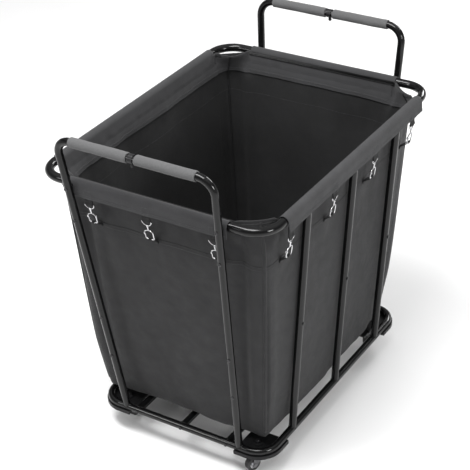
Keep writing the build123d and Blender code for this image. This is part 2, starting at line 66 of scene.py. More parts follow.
# ---- sizes of the cloth ----
CLOTH = 0.0012                     # doubled polyester
WEAVE_PITCH = 0.0011               # from one thread to the next, coarse enough to show
FLOOR_HALF = Vector((0.2225, 0.3005))                # half width and length of the bag's floor
SHOULDER_HALF = Vector((0.2925, 0.3835))             # and where the bag meets the ring's underside
FLOOR_Z, SHOULDER_Z = BAG_LOW.z + 0.0006, 0.738
CORNER_R = 0.008                   # the walls meet in seamed corners
FOLD_R = 0.016                     # soft turn from the walls into the floor
END_HALF, SIDE_HALF = 0.216, 0.328                   # half lengths of the collars along X and Y
FLAP_Z, HEM_Z = 0.7300, 0.7375                       # the collar's outer edge and its stitch line
BAND_Z = (0.7020, 0.7265)                            # facing sewn round the inside, under the collar
SEAM_Z = 0.645                     # seam that the hook loops are sewn to
TUCK_Z = RING_Z + 0.001            # the bag's edge inside the collars
FREE_Z = RING_Z + 0.0095           # and where it runs free round a corner
HEM_LOW_Z = FREE_Z - 0.004         # from here up a corner's cloth has reached its free hem's line
LEAN_Z = 0.672                     # from here up a corner leans in towards its free hem
SLACK_Z = 0.250                    # and above this it has already given way a little
FIRM_Z, FIRM_RISE = 0.694, 0.048   # the slack dies out over this rise, where the collars hold the cloth
RING_GAP = 0.0008                  # between the ring and the bag that hangs inside it
# For every corner: how full its hem is (0 cuts straight across, 1 follows the ring), how far the hem
# dips, and how far the slack corner has moved at its foot and below the ring.
CORNERS = {(-1, -1): (0.15, 0.007, Vector((-0.027, 0.0)), Vector((0.018, 0.016))),
           (1, -1): (0.42, -0.001, Vector((-0.006, 0.0)), Vector((0.0, 0.003))),
           (1, 1): (-0.12, 0.008, Vector((-0.010, -0.004)), Vector((-0.018, -0.013))),
           (-1, 1): (-0.30, 0.012, Vector((-0.010, 0.002)), Vector((0.006, -0.008)))}


# ---- meshes ----
def piece(name, points, faces, material, uvs=None):
    """One smooth mesh object that rides on the frame; uvs hold one pair for every point. Its slot holds the named
    material."""
    mesh = bpy.data.meshes.new(name)
    mesh.from_pydata([tuple(p) for p in points], [], faces)
    if uvs:
        layer = mesh.uv_layers.new(name="cloth")
        for loop in mesh.loops:
            layer.data[loop.index].uv = uvs[loop.vertex_index]
    mesh.polygons.foreach_set("use_smooth", [True] * len(mesh.polygons))
    mesh.materials.append(MATERIALS[material])
    obj = bpy.data.objects.new(name, mesh)
    bpy.context.scene.collection.objects.link(obj)
    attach(obj, "frame")
    return obj


def modify(obj, kind, **values):
    modifier = obj.modifiers.new(kind.lower(), kind)
    for key, value in values.items():
        setattr(modifier, key, value)


def thicken(obj, thickness, material_step=0):
    """Gives a sheet its thickness, half to each side. Its second face is material_step materials on."""
    modify(obj, "SOLIDIFY", thickness=thickness, offset=0.0, material_offset=material_step)


def grid_faces(rows, columns, closed=False, first=0):
    """Quads over rows x columns of points; closed joins the last column to the first."""
    faces = []
    for r in range(rows - 1):
        for c in range(columns if closed else columns - 1):
            d = (c + 1) % columns
            a, b = first + r * columns, first + (r + 1) * columns
            faces.append((a + c, a + d, b + d, b + c))
    return faces


def flatten(rows):
    return [p for row in rows for p in row]


def smooth_step(x):
    x = max(0.0, min(1.0, x))
    return x * x * (3 - 2 * x)


def bump(x, centre, width):
    return exp(-((x - centre) / width) ** 2)


# ---- materials ----
class Shader:
    """A Principled material with short helpers for its nodes."""

    def __init__(self, name, colour, roughness, **sockets):
        self.material = bpy.data.materials.new(name)
        self.material.use_nodes = True
        self.nodes = self.material.node_tree.nodes
        self.links = self.material.node_tree.links
        self.bsdf = self.nodes["Principled BSDF"]
        self.bsdf.inputs["Base Color"].default_value = (*colour, 1)
        self.bsdf.inputs["Roughness"].default_value = roughness
        for key, value in sockets.items():
            self.bsdf.inputs[key.replace("_", " ")].default_value = value
        self.height = None

    def node(self, kind, **values):
        made = self.nodes.new(kind)
        for key, value in values.items():
            if key in made.inputs:
                made.inputs[key].default_value = value
            else:
                setattr(made, key, value)
        return made

    def coordinates(self, which="Object", stretch=(1, 1, 1)):
        mapping = self.node("ShaderNodeMapping")
        mapping.inputs["Scale"].default_value = stretch
        source = self.node("ShaderNodeTexCoord").outputs[which]
        self.links.new(source, mapping.inputs["Vector"])
        return mapping.outputs["Vector"]

    def noise(self, scale, detail=3.0, where=None, rough=0.5):
        made = self.node("ShaderNodeTexNoise", Scale=scale, Detail=detail, Roughness=rough)
        self.links.new(where or self.coordinates(), made.inputs["Vector"])
        return made.outputs["Fac"]

    def ramp(self, value, low, high, start=0.3, stop=0.7):
        made = self.node("ShaderNodeMapRange")
        for key, number in (("From Min", start), ("From Max", stop), ("To Min", low), ("To Max", high)):
            made.inputs[key].default_value = number
        self.links.new(value, made.inputs["Value"])
        return made.outputs["Result"]

    def larger(self, values):
        made = self.node("ShaderNodeMath", operation="MAXIMUM")
        for socket, value in zip(made.inputs, values):
            self.links.new(value, socket)
        return made.outputs[0]

    def tint(self, value, dark, light, start=0.3, stop=0.7):
        """Base colour that runs from dark to light with the value."""
        made = self.node("ShaderNodeValToRGB")
        made.color_ramp.elements[0].position = start
        made.color_ramp.elements[1].position = stop
        made.color_ramp.elements[0].color = (*dark, 1)
        made.color_ramp.elements[1].color = (*light, 1)
        self.links.new(value, made.inputs["Fac"])
        self.links.new(made.outputs["Color"], self.bsdf.inputs["Base Color"])

    def rough(self, value, low, high, start=0.3, stop=0.7):
        self.links.new(self.ramp(value, low, high, start, stop), self.bsdf.inputs["Roughness"])

    def raise_by(self, value, depth, strength=1.0):
        """Adds a bump of that depth in metres on top of the earlier ones."""
        made = self.node("ShaderNodeBump", Strength=strength, Distance=depth)
        self.links.new(value, made.inputs["Height"])
        if self.height:
            self.links.new(self.height, made.inputs["Normal"])
        self.height = made.outputs["Normal"]
        self.links.new(self.height, self.bsdf.inputs["Normal"])


WAVE_SCALE = 0.314                 # Blender's wave texture at this scale repeats once a metre


def weave(shader):
    """Height of a plain weave: warp and weft waves that pass over each other."""
    where = shader.coordinates("UV")
    waves = []
    for direction in ("X", "Y"):
        made = shader.node("ShaderNodeTexWave", wave_type="BANDS", bands_direction=direction)
        made.inputs["Scale"].default_value = WAVE_SCALE / WEAVE_PITCH
        made.inputs["Distortion"].default_value = 0.4
        made.inputs["Detail Scale"].default_value = 2.0
        shader.links.new(where, made.inputs["Vector"])
        waves.append(made.outputs["Fac"])
    return shader.larger(waves)


def cloth_material(name, dark, light, sheen=0.10):
    shader = Shader(name, dark, 0.86, Sheen_Weight=sheen, Sheen_Roughness=0.45, Specular_IOR_Level=0.32)
    shader.tint(shader.noise(9.0, 5.0), dark, light, 0.32, 0.70)
    shader.rough(shader.noise(38.0, 3.0), 0.78, 0.92)
    shader.raise_by(shader.noise(16.0, 4.0), 0.0040, 0.55)
    shader.raise_by(shader.noise(420.0, 2.0), 0.00025, 0.5)
    shader.raise_by(weave(shader), 0.00016, 0.8)
    return shader.material


def webbing_material(name):
    shader = Shader(name, (0.006, 0.006, 0.0065), 0.75, Sheen_Weight=0.05, Specular_IOR_Level=0.3)
    ribs = shader.node("ShaderNodeTexWave", wave_type="BANDS", bands_direction="DIAGONAL")
    ribs.inputs["Scale"].default_value = 230.0
    shader.links.new(shader.coordinates("UV"), ribs.inputs["Vector"])
    shader.tint(ribs.outputs["Fac"], (0.004, 0.004, 0.0045), (0.010, 0.010, 0.0105), 0.2, 0.8)
    shader.rough(shader.noise(90.0), 0.66, 0.84)
    shader.raise_by(ribs.outputs["Fac"], 0.00025)
    return shader.material


def thread_material(name):
    shader = Shader(name, (0.03, 0.03, 0.032), 0.6, Sheen_Weight=0.3)
    shader.tint(shader.noise(300.0), (0.020, 0.020, 0.021), (0.055, 0.055, 0.058))
    shader.rough(shader.noise(500.0), 0.45, 0.7)
    return shader.material


def coated_tube(name, colour, light, gloss):
    """Glossy black coat: faint orange peel and cloudy patches that are a little rougher."""
    shader = Shader(name, colour, gloss, Specular_IOR_Level=0.31)
    shader.tint(shader.noise(24.0, 4.0), colour, light, 0.35, 0.75)
    shader.rough(shader.noise(14.0, 6.0, rough=0.6), gloss - 0.05, gloss + 0.10, 0.35, 0.70)
    shader.raise_by(shader.noise(420.0, 2.0), 0.00006, 0.5)
    shader.raise_by(shader.noise(60.0, 2.0), 0.00020, 0.12)
    return shader.material


def plastic_material(name, dark, light, roughness, grain=900.0):
    shader = Shader(name, dark, roughness, Specular_IOR_Level=0.2)
    shader.tint(shader.noise(30.0, 4.0), dark, light)
    shader.rough(shader.noise(70.0, 4.0), roughness - 0.08, roughness + 0.10)
    shader.raise_by(shader.noise(grain, 2.0), 0.00010, 0.6)
    return shader.material


def foam_material(name):
    shader = Shader(name, (0.095, 0.095, 0.096), 0.92, Specular_IOR_Level=0.2, Sheen_Weight=0.1)
    shader.tint(shader.noise(300.0, 6.0, rough=0.65), (0.084, 0.084, 0.085), (0.108, 0.108, 0.110))
    pores = shader.node("ShaderNodeTexVoronoi", Scale=1100.0)
    shader.links.new(shader.coordinates(), pores.inputs["Vector"])
    shader.raise_by(shader.noise(45.0, 3.0), 0.0005, 0.4)
    shader.raise_by(pores.outputs["Distance"], 0.00030, 0.6)
    shader.rough(shader.noise(160.0), 0.86, 0.97)
    return shader.material


def metal_material(name, dark, light, roughness, grain):
    """Plated or pressed steel with cloudy roughness and faint drawing marks."""
    shader = Shader(name, light, roughness, Metallic=1.0)
    shader.tint(shader.noise(90.0, 5.0), dark, light)
    shader.rough(shader.noise(160.0, 5.0), roughness * 0.7, roughness * 1.5)
    marks = shader.noise(grain, 2.0, shader.coordinates("Object", (1.0, 1.0, 0.15)))
    shader.raise_by(marks, 0.00008, 0.4)
    return shader.material


def rubber_material(name):
    shader = Shader(name, (0.06, 0.06, 0.062), 0.7, Specular_IOR_Level=0.35)
    shader.tint(shader.noise(140.0, 6.0, rough=0.7), (0.024, 0.024, 0.025), (0.055, 0.055, 0.054))
    shader.rough(shader.noise(200.0, 4.0), 0.58, 0.85)
    shader.raise_by(shader.noise(800.0), 0.00012, 0.6)
    return shader.material


def floor_material():
    shader = Shader("pale_floor", (0.90, 0.90, 0.90), 0.85)
    shader.tint(shader.noise(3.0), (0.885, 0.885, 0.885), (0.91, 0.91, 0.91))
    return shader.material


MATERIALS = {name: make(name, *values) for name, make, *values in (
    ("black_tube", coated_tube, (0.0028, 0.0028, 0.0030), (0.0050, 0.0050, 0.0052), 0.11),
    ("screw_black", coated_tube, (0.020, 0.020, 0.021), (0.040, 0.040, 0.042), 0.28),
    ("clamp_black", plastic_material, (0.012, 0.012, 0.013), (0.020, 0.020, 0.021), 0.38),
    ("black_plastic", plastic_material, (0.005, 0.005, 0.0055), (0.009, 0.009, 0.0095), 0.40),
    ("pedal_plastic", plastic_material, (0.045, 0.045, 0.047), (0.070, 0.070, 0.072), 0.48),
    ("grip_foam", foam_material),
    ("bag_fabric", cloth_material, (0.0150, 0.0150, 0.0158), (0.0200, 0.0200, 0.0209)),
    ("collar_fabric", cloth_material, (0.030, 0.030, 0.0314), (0.038, 0.038, 0.040)),
    # The inside of the bag: the bag cloth made darker, painted shade for the dim inside.
    ("bag_inside_painted_shade", cloth_material, (0.0110, 0.0110, 0.0114), (0.0148, 0.0148, 0.0152), 0.05),
    ("webbing", webbing_material),
    ("thread", thread_material),
    ("hook_chrome", metal_material, (0.42, 0.42, 0.43), (0.62, 0.62, 0.63), 0.12, 700.0),
    ("wheel_chrome", metal_material, (0.55, 0.55, 0.57), (0.78, 0.78, 0.80), 0.20, 500.0),
    ("caster_steel", metal_material, (0.16, 0.16, 0.165), (0.30, 0.30, 0.31), 0.36, 600.0),
    ("fastener_steel", metal_material, (0.08, 0.08, 0.083), (0.16, 0.16, 0.165), 0.34, 600.0),
    ("tyre_rubber", rubber_material),
)}

for node, obj in NODES.items():
    for socket in obj.material_slots:
        socket.material = MATERIALS[SLOT_OF[node]]


# ---- where the snap hooks are ----
SIDES = ("front", "right", "rear", "left")
OUTWARD = {"front": Vector((0, -1)), "right": Vector((1, 0)),
           "rear": Vector((0, 1)), "left": Vector((-1, 0))}
HOOK_PIN = Vector((-0.0112, 0, -0.0365))             # gate pin seen from the eye's bar
HOOK_FOOT = -0.052                                   # the hook's lowest bar, seen the same way
TAB_WIDTH, LOOP_WIDTH, WEB = 0.022, 0.009, 0.0013    # widths and thickness of the webbing


def hook_frames():
    """Side, origin and axes of every snap hook, from its gate's joint: X along the eye's bar, Z up."""
    found = []
    for joint in frame["joints"]:
        if not joint["name"].startswith("hook_gate"):
            continue
        y = -Vector(joint["axis"]).normalized()
        x = y.cross(Vector((0, 0, 1))).normalized()
        z = x.cross(y)
        origin = Vector(joint["pos_m"]) - (x * HOOK_PIN.x + y * HOOK_PIN.y + z * HOOK_PIN.z)
        side = max(SIDES, key=lambda name: -y.xy.dot(OUTWARD[name]))
        found.append((side, origin, x, z))
    return found


HOOKS = hook_frames()


def axes(side):
    """A side's outward way and the way along it, anticlockwise round the cart."""
    out = Vector((*OUTWARD[side], 0))
    return out, Vector((-out.y, out.x, 0))


def tents(side, across, z):
    """The loops under tension pull the wall out round them; 1 at a loop, fading to 0."""
    pull = 0.0
    for at_side, origin, _, _ in HOOKS:
        if at_side == side:
            place = origin.x if side in ("front", "rear") else origin.y
            pull += bump(across, place, 0.042) * bump(z, SEAM_Z, 0.050)
    return pull


# ---- the bag ----
TENT = 0.0045                      # how far a hook's loop pulls the wall out
LEG_FOLD = 0.0065                  # depth of the long soft folds down each side of a corner
BELLY = 0.0050                     # how far the middle of a wall hangs out
# Depths of a wall's uneven shapes: long folds, small folds, puckers under the hem, folds by the floor.
FOLD, SMALL_FOLD, PUCKER, FOOT_FOLD = 0.0060, 0.0020, 0.0024, 0.0035


def held_low(height):
    """Long folds fade out where the wall turns in at the floor and where it is sewn flat at the top."""
    return smooth_step(height / 0.25) * smooth_step((1.04 - height) / 0.10)


def creases(p, side):
    """How far the cloth stands out from its flat panel at p, in metres: soft folds, a slack belly and
    small puckers under the hem. It fades to nothing at the top hem and in the corner seams."""
    drop = SHOULDER_Z - p.z
    height = (p.z - FLOOR_Z) / (SHOULDER_Z - FLOOR_Z)
    end = side in ("front", "rear")
    across = p.x if end else p.y
    span = SHOULDER_HALF.x if end else SHOULDER_HALF.y
    centre = max(0.0, 1 - (abs(across) / span) ** 6)
    seed = SIDES.index(side) * 7.0
    folds = noise.noise(Vector((across * 6.0, p.z * 1.4, seed))) * FOLD
    folds += noise.noise(Vector((across * 15.0 + p.z * 4.0, p.z * 5.0, seed + 9))) * SMALL_FOLD
    puckers = noise.noise(Vector((across * 42.0, seed, 3.0))) * PUCKER * exp(-max(drop, 0) / 0.08)
    belly = BELLY * sin(pi * max(0.0, min(1.0, height)) ** 0.75)
    foot = noise.noise(Vector((across * 26.0, seed, 11.0))) * FOOT_FOLD * exp(-(p.z - FLOOR_Z) / 0.045)
    held = smooth_step(drop / 0.05)
    pull = tents(side, across, p.z) * TENT
    share = abs(across) / (half_sizes(p.z).x if end else half_sizes(p.z).y)
    rounded = bump(share, 0.90, 0.05) - bump(share, 0.79, 0.04) if end else 0.6 * bump(share, 0.93, 0.04)
    belly += LEG_FOLD * rounded * held_low(height)
    return (folds * held + belly + foot + pull) * centre + puckers * centre * smooth_step(drop / 0.01 + 0.4)


def half_sizes(z):
    """Half width and length of the bag at height z; above the shoulder it turns in under the ring."""
    if z <= SHOULDER_Z:
        return FLOOR_HALF.lerp(SHOULDER_HALF, (z - FLOOR_Z) / (SHOULDER_Z - FLOOR_Z))
    return SHOULDER_HALF.lerp(Vector((RING_X - RIM_R - RING_GAP, RING_Y - RIM_R - RING_GAP)),
                              smooth_step((z - SHOULDER_Z) / (RING_Z - SHOULDER_Z)))


def corner_bulge(height):
    """The corners belly out a little in the lower half, where the bag is slack."""
    return 0.006 * sin(pi * max(0.0, min(1.0, height)) ** 0.62)


def free_share(flat, half):
    """Place along a corner's free edge: 0 where the end collar stops, 1 where the side collar does,
    and outside that range under a collar."""
    straight = half - Vector((CORNER_R, CORNER_R))
    x, y = abs(flat.x), abs(flat.y)
    arc = CORNER_R * pi / 2
    total = straight.x - END_HALF + arc + straight.y - SIDE_HALF
    if x <= straight.x:
        return (x - END_HALF) / total
    if y <= straight.y:
        return 1 - (y - SIDE_HALF) / total
    return (straight.x - END_HALF + CORNER_R * atan2(x - straight.x, y - straight.y)) / total


def free_hem(corner, share):
    """Plan point on a corner's free hem, which sags across from one collar's end to the other's."""
    fullness = CORNERS[corner][0]
    start = Vector((END_HALF, RING_Y - RIM_R - RING_GAP))
    stop = Vector((RING_X - RIM_R - RING_GAP, SIDE_HALF))
    middle = (start + stop) / 2
    control = middle + (Vector((stop.x, start.y)) - middle) * fullness
    point = start * (1 - share) ** 2 + control * 2 * share * (1 - share) + stop * share ** 2
    return Vector((point.x * corner[0], point.y * corner[1]))


def corner_of(flat):
    return (1 if flat.x > 0 else -1, 1 if flat.y > 0 else -1)


ALONG_END, ALONG_SIDE, AROUND = 62, 80, 10           # points along each side and round each corner


def reach_of(side, half):
    """How far out a side's wall is, in a section of those half sizes."""
    return half.x if side in ("left", "right") else half.y


def section_point(side, t, z):
    """Point of the bag's nominal section at height z. t runs -1..1 along a side, anticlockwise."""
    half = half_sizes(z)
    out = OUTWARD[side]
    run = Vector((-out.y, out.x))
    length = abs(run.x) * half.x + abs(run.y) * half.y - CORNER_R
    return out * reach_of(side, half) + run * t * length


def settle(flat, z):
    """Moves a point of the nominal section to where the hung bag lets it go: the slack lower corners
    shift and belly out, and the top of every corner leans in towards its free hem."""
    height = (z - FLOOR_Z) / (SHOULDER_Z - FLOOR_Z)
    corner = corner_of(flat)
    half = half_sizes(z)
    near_x = smooth_step((abs(flat.x) / half.x - 0.35) / 0.65)
    near_y = smooth_step((abs(flat.y) / half.y - 0.60) / 0.40)
    low = (1 - max(0.0, min(1.0, height))) ** 1.3
    outward = Vector(corner).normalized()
    rise = max(0.0, (z - SLACK_Z) / (LEAN_Z - SLACK_Z))
    give = min(rise, 1.0) * (1 - smooth_step((z - FIRM_Z) / FIRM_RISE))
    _, _, at_foot, at_top = CORNERS[corner]
    moved = flat + (at_foot * low + at_top * give + outward * corner_bulge(height)) * near_x * near_y
    share = free_share(flat, half)
    if 0 < share < 1 and z > LEAN_Z:
        lean = smooth_step((z - LEAN_Z) / (HEM_LOW_Z - LEAN_Z))
        moved = moved.lerp(free_hem(corner, share), lean)
    return moved


def loop_of(z):
    """One closed section of the bag with its creases: point, outward direction and the section point."""
    made = []
    for number, side in enumerate(SIDES):
        out = OUTWARD[side]
        count = ALONG_END if side in ("front", "rear") else ALONG_SIDE
        for i in range(count + 1):
            flat = section_point(side, 2 * i / count - 1, z)
            lift = creases(Vector((*flat, z)), side)
            made.append((Vector((*(settle(flat, z) + out * lift), z)), Vector((*out, 0)), flat))
        out_after = OUTWARD[SIDES[(number + 1) % 4]]
        centre = section_point(side, 1, z) - out * CORNER_R
        for i in range(1, AROUND):
            turn = i / AROUND * pi / 2
            away = out * cos(turn) + out_after * sin(turn)
            flat = centre + away * CORNER_R
            made.append((Vector((*settle(flat, z), z)), Vector((*away, 0)), flat))
    return made


FLOOR_SAG = 0.0065


def floor_sag(p):
    """The floor rests on the bars and hangs a few millimetres between them."""
    bars = (BAR_LOW.x + TUBE_R, 0.0, BAR_HIGH.x - TUBE_R)
    near = max(bump(p.x, bar, 0.030) for bar in bars)
    edge = smooth_step((FLOOR_HALF.x - abs(p.x)) / 0.05) * smooth_step((FLOOR_HALF.y - abs(p.y)) / 0.06)
    return -FLOOR_SAG * (1 - near) * edge


def edge_height(flat, z):
    """Height of the bag's top edge over a section point: low inside the collars, free round a corner."""
    share = free_share(flat, half_sizes(z))
    if not 0 < share < 1:
        return TUCK_Z
    rise = smooth_step(share / 0.08) * smooth_step((1 - share) / 0.08)
    dip = CORNERS[corner_of(flat)][1] * sin(pi * share)
    return TUCK_Z + (FREE_Z - TUCK_Z) * rise - dip


TOP_ROWS, LEAN_ROWS, WALL_ROWS, TURN_ROWS = 8, 14, 58, 7
FLOOR_RINGS = (0.97, 0.93, 0.87, 0.80, 0.72, 0.63, 0.53, 0.42, 0.30, 0.17, 0.06)


def levels():
    """Heights of the bag's rings of points, from the free hem down to the turn into the floor."""
    low = FLOOR_Z + FOLD_R
    top = [FREE_Z - i * (FREE_Z - SHOULDER_Z) / TOP_ROWS for i in range(TOP_ROWS)]
    lean = [SHOULDER_Z - i * (SHOULDER_Z - LEAN_Z) / LEAN_ROWS for i in range(LEAN_ROWS)]
    wall = [LEAN_Z - i * (LEAN_Z - low) / WALL_ROWS for i in range(WALL_ROWS + 1)]
    return top + lean + wall


def trimmed(loop, z):
    """The loop with the rows above the shoulder drawn down so that the topmost is the bag's edge."""
    if z <= SHOULDER_Z:
        return [p for p, _, _ in loop]
    share = (z - SHOULDER_Z) / (FREE_Z - SHOULDER_Z)
    return [Vector((p.x, p.y, SHOULDER_Z + share * (edge_height(flat, z) - SHOULDER_Z)))
            for p, _, flat in loop]


def bag():
    """The bag as one shell of cloth: fabric outside, the same cloth darker inside as painted shade. Gives back its
    rings of points.
    """
    rows = [trimmed(loop_of(z), z) for z in levels()]
    for i in range(1, TURN_ROWS + 1):
        turn = i / TURN_ROWS * pi / 2
        z = FLOOR_Z + FOLD_R * (1 - sin(turn))
        rows.append([p - out * FOLD_R * (1 - cos(turn)) for p, out, _ in loop_of(z)])
    edge = rows[-1]
    for shrink in FLOOR_RINGS:
        row = [Vector((p.x * shrink, p.y * shrink, FLOOR_Z)) for p in edge]
        rows.append([p + Vector((0, 0, floor_sag(p))) for p in row])
    columns = len(rows[0])
    faces = grid_faces(len(rows), columns, closed=True)
    last = (len(rows) - 1) * columns
    faces.append(tuple(last + c for c in range(columns)))
    uvs = [cloth_uv(p) for p in flatten(rows)]
    # Its inside takes the darker cloth colour, painted shade for the dim inside of the bag.
    obj = piece("bag", flatten(rows), faces, "bag_inside_painted_shade", uvs=uvs)
    obj.data.materials.append(MATERIALS["bag_fabric"])
    thicken(obj, CLOTH, 1)
    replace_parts(obj, "bag_body")
    return rows


def cloth_uv(p):
    """Threads run up and along each wall, and along X and Y on the floor."""
    half = half_sizes(max(FLOOR_Z, p.z))
    if p.z < FLOOR_Z + 0.004:
        return (p.x, p.y)
    if abs(p.y) / half.y > abs(p.x) / half.x:
        return (p.x, p.z)
    return (p.y, p.z)


def wall_at(side, along, z, lift=0.0):
    """Point on the bag's wall at a distance along its side from the middle, lifted off outwards."""
    out = OUTWARD[side]
    flat = out * reach_of(side, half_sizes(z)) + Vector((-out.y, out.x)) * along
    stand = creases(Vector((*flat, z)), side) + lift
    return Vector((*(settle(flat, z) + out * stand), z))


# ---- collars, hems and seams ----
WRAP_R = RIM_R + 0.0020            # middle of the cloth that lies on the ring
TAB_TOP = 0.7440                   # the hook tabs run up behind the flap to here
TAB_BULGE = 0.0009                 # how far a tab pushes the flap out
RIPPLE = 0.0012                    # how far the flap's edge waves in and out
HEM_TURN = 0.0007                  # the flap is thicker where its edge is turned in
INSIDE_STEPS, WRAP_STEPS, FLAP_STEPS = 7, 12, 8      # up the inside, over the ring, down outside


def tab_bulge(side, along, z):
    """The flap stands off a little where a hook's tab runs up behind it."""
    _, run = axes(side)
    near = 0.0
    for at_side, origin, _, _ in HOOKS:
        if at_side == side:
            aside = abs(along - origin.dot(run))
            near = max(near, smooth_step((TAB_WIDTH / 2 + 0.007 - aside) / 0.006))
    return TAB_BULGE * near * smooth_step((TAB_TOP + 0.004 - z) / 0.008)


def collar_profile(side, along):
    """Section of a collar: sewn edge inside the bag, up, over the ring, and down outside to the hem."""
    out, run = axes(side)
    centre = out * reach_of(side, Vector((RING_X, RING_Y))) + run * along + Vector((0, 0, RING_Z))
    points = []
    for i in range(INSIDE_STEPS):
        z = BAND_Z[1] - 0.004 + (RING_Z - 0.012 - BAND_Z[1]) * i / (INSIDE_STEPS - 1)
        inside = (wall_at(side, along, z, -CLOTH - 0.0003) - centre).dot(out)
        points.append((min(inside, -WRAP_R - 0.0004), z - RING_Z))
    for i in range(WRAP_STEPS + 1):
        turn = pi * (1 - i / WRAP_STEPS)
        points.append((WRAP_R * cos(turn), WRAP_R * sin(turn)))
    ripple = noise.noise(Vector((along * 11.0, 5.0 * out.x + 2.0 * out.y, 4.0)))
    for i in range(1, FLAP_STEPS + 1):
        down = i / FLAP_STEPS
        z = -(RING_Z - FLAP_Z) * down
        lift = 0.0003 * down + ripple * RIPPLE * down + tab_bulge(side, along, RING_Z + z)
        turned = HEM_TURN if z < HEM_Z + 0.001 - RING_Z else 0.0
        points.append((WRAP_R + lift + turned, z))
    return [centre + out * n + Vector((0, 0, z)) for n, z in points]


def side_span(side):
    return SIDE_HALF if side in ("left", "right") else END_HALF


def collar(side):
    half = side_span(side)
    count = int(half * 2 / 0.005)
    columns = [collar_profile(side, half * (2 * i / count - 1)) for i in range(count + 1)]
    uvs = []
    for i, column in enumerate(columns):
        length = 0.0
        for before, p in zip([column[0]] + column, column):
            length += (p - before).length
            uvs.append((half * 2 * i / count, length))
    obj = piece(f"collar_{side}", flatten(columns), grid_faces(len(columns), len(columns[0])),
                "collar_fabric", uvs=uvs)
    thicken(obj, CLOTH)
    modify(obj, "BEVEL", width=0.0004, segments=2, limit_method="ANGLE")
    return obj


def strip(name, path, widths, outs, material, thickness, crown=0.0):
    """Tape along a path. widths are offsets across it, outs the surface's outward ways, and crown is
    how far its middle stands above its edges."""
    rows = []
    for i, p in enumerate(path):
        ahead = path[min(i + 1, len(path) - 1)] - path[max(i - 1, 0)]
        across = outs[i].cross(ahead.normalized()).normalized()
        rows.append([p + across * w + outs[i] * crown * (1 - (w / widths[-1]) ** 2) for w in widths])
    uvs = [(w, i * 0.01) for i in range(len(rows)) for w in widths]
    obj = piece(name, flatten(rows), grid_faces(len(rows), len(widths)), material, uvs=uvs)
    thicken(obj, thickness)


STITCH, PITCH, THREAD_R = 0.0024, 0.0034, 0.00028    # length of a stitch, their spacing, the thread
# Section of the rim's binding: offset from the cloth's middle and height over its edge.
HEM_SHAPE = ((0.0016, -0.0090), (0.0017, -0.0020), (0.0013, 0.0004), (0.0, 0.0010), (-0.0013, 0.0004),
             (-0.0017, -0.0020), (-0.0016, -0.0090), (0.0, -0.0092))


def stitches(name, lines):
    """Rows of stitches. A line is a list of (point, outward way), and each stitch is a small spindle."""
    points, faces = [], []
    for line in lines:
        travelled, next_at = 0.0, PITCH / 2
        for (a, out), (b, _) in zip(line, line[1:]):
            step = b - a
            length = step.length
            if length < 1e-6:
                continue
            way = step / length
            side = way.cross(out).normalized()
            while next_at < travelled + length:
                middle = a + way * (next_at - travelled) + out * THREAD_R * 0.6
                base = len(points)
                points += [middle - way * STITCH / 2, middle + way * STITCH / 2]
                for share in (-0.3, 0.3):
                    ring = middle + way * STITCH * share
                    points += [ring + out * THREAD_R, ring + side * THREAD_R,
                               ring - out * THREAD_R, ring - side * THREAD_R]
                for k in range(4):
                    m = (k + 1) % 4
                    faces.append((base, base + 2 + k, base + 2 + m))
                    faces.append((base + 2 + k, base + 6 + k, base + 6 + m, base + 2 + m))
                    faces.append((base + 6 + k, base + 1, base + 6 + m))
                next_at += PITCH
            travelled += length
    piece(name, points, faces, "thread")


def flap_point(side, along, z, lift):
    """Point on the outside of a collar's flap at height z."""
    flap = collar_profile(side, along)[-FLAP_STEPS - 1:]
    out, _ = axes(side)
    stand = out * (CLOTH / 2 + lift)
    for high, low in zip(flap, flap[1:]):
        if low.z <= z <= high.z:
            return low.lerp(high, (z - low.z) / (high.z - low.z)) + stand
    return flap[-1] + stand


def ring_line(z, lift, way):
    """Closed line round the bag at height z, lifted off its wall; way is 1 outside and -1 inside."""
    ring = [(p + out * lift, out * way) for p, out, _ in loop_of(z)]
    return ring + ring[:1]


def hem_stitches():
    """Along the hem of each flap, and two rows round the facing's lower edge inside."""
    lines = []
    steps = 70
    for side in SIDES:
        half = side_span(side) - 0.004
        out, _ = axes(side)
        places = [half * (2 * i / steps - 1) for i in range(steps + 1)]
        lines.append([(flap_point(side, along, HEM_Z, 0.0003), out) for along in places])
    for z in (BAND_Z[0] + 0.002, BAND_Z[0] + 0.009):
        lines.append(ring_line(z, -0.0036, -1))
    stitches("hem_stitches", lines)


def band_stitches():
    """Two rows on the outside of the seam band and one on the inside of the wall."""
    lines = [ring_line(z, 0.0015, 1) for z in (SEAM_Z + 0.0045, SEAM_Z - 0.0045)]
    lines.append(ring_line(SEAM_Z, -CLOTH / 2 - 0.0001, -1))
    stitches("band_stitches", lines)


def facing(rows):
    """Cloth that lines the top of the walls inside; round a corner it runs right up to the free hem."""
    points = []
    for z in (BAND_Z[0], BAND_Z[0] + 0.0006, BAND_Z[1]):
        points += [p - out * 0.0019 for p, out, _ in loop_of(z)]
    above = [(row, z) for row, z in zip(rows, levels()) if z > BAND_Z[1] + 0.001]
    for row, z in reversed(above):
        for p, (_, out, flat) in zip(row, loop_of(z)):
            share = free_share(flat, half_sizes(z))
            shown = smooth_step(share / 0.04) * smooth_step((1 - share) / 0.04)
            points.append(p - out * (0.0009 + 0.0010 * shown))
    count = len(rows[0])
    obj = piece("facing", points, grid_faces(len(points) // count, count, closed=True),
                "collar_fabric", uvs=[cloth_uv(p) for p in points])
    thicken(obj, CLOTH)


def band_round(name, z_low, z_high, lift, material, thickness):
    """Tape sewn all round the bag between two heights, lifted off the wall."""
    rows = [loop_of(z_low + (z_high - z_low) * share) for share in (0.0, 0.04, 0.35, 0.65, 0.96, 1.0)]
    points, uvs = [], []
    for row in rows:
        length = 0.0
        for i, (p, out, _) in enumerate(row):
            length += (p - row[i - 1][0]).length if i else 0.0
            points.append(p + out * lift)
            uvs.append((length, p.z))
    obj = piece(name, points, grid_faces(len(rows), len(rows[0]), closed=True), material, uvs=uvs)
    thicken(obj, thickness)


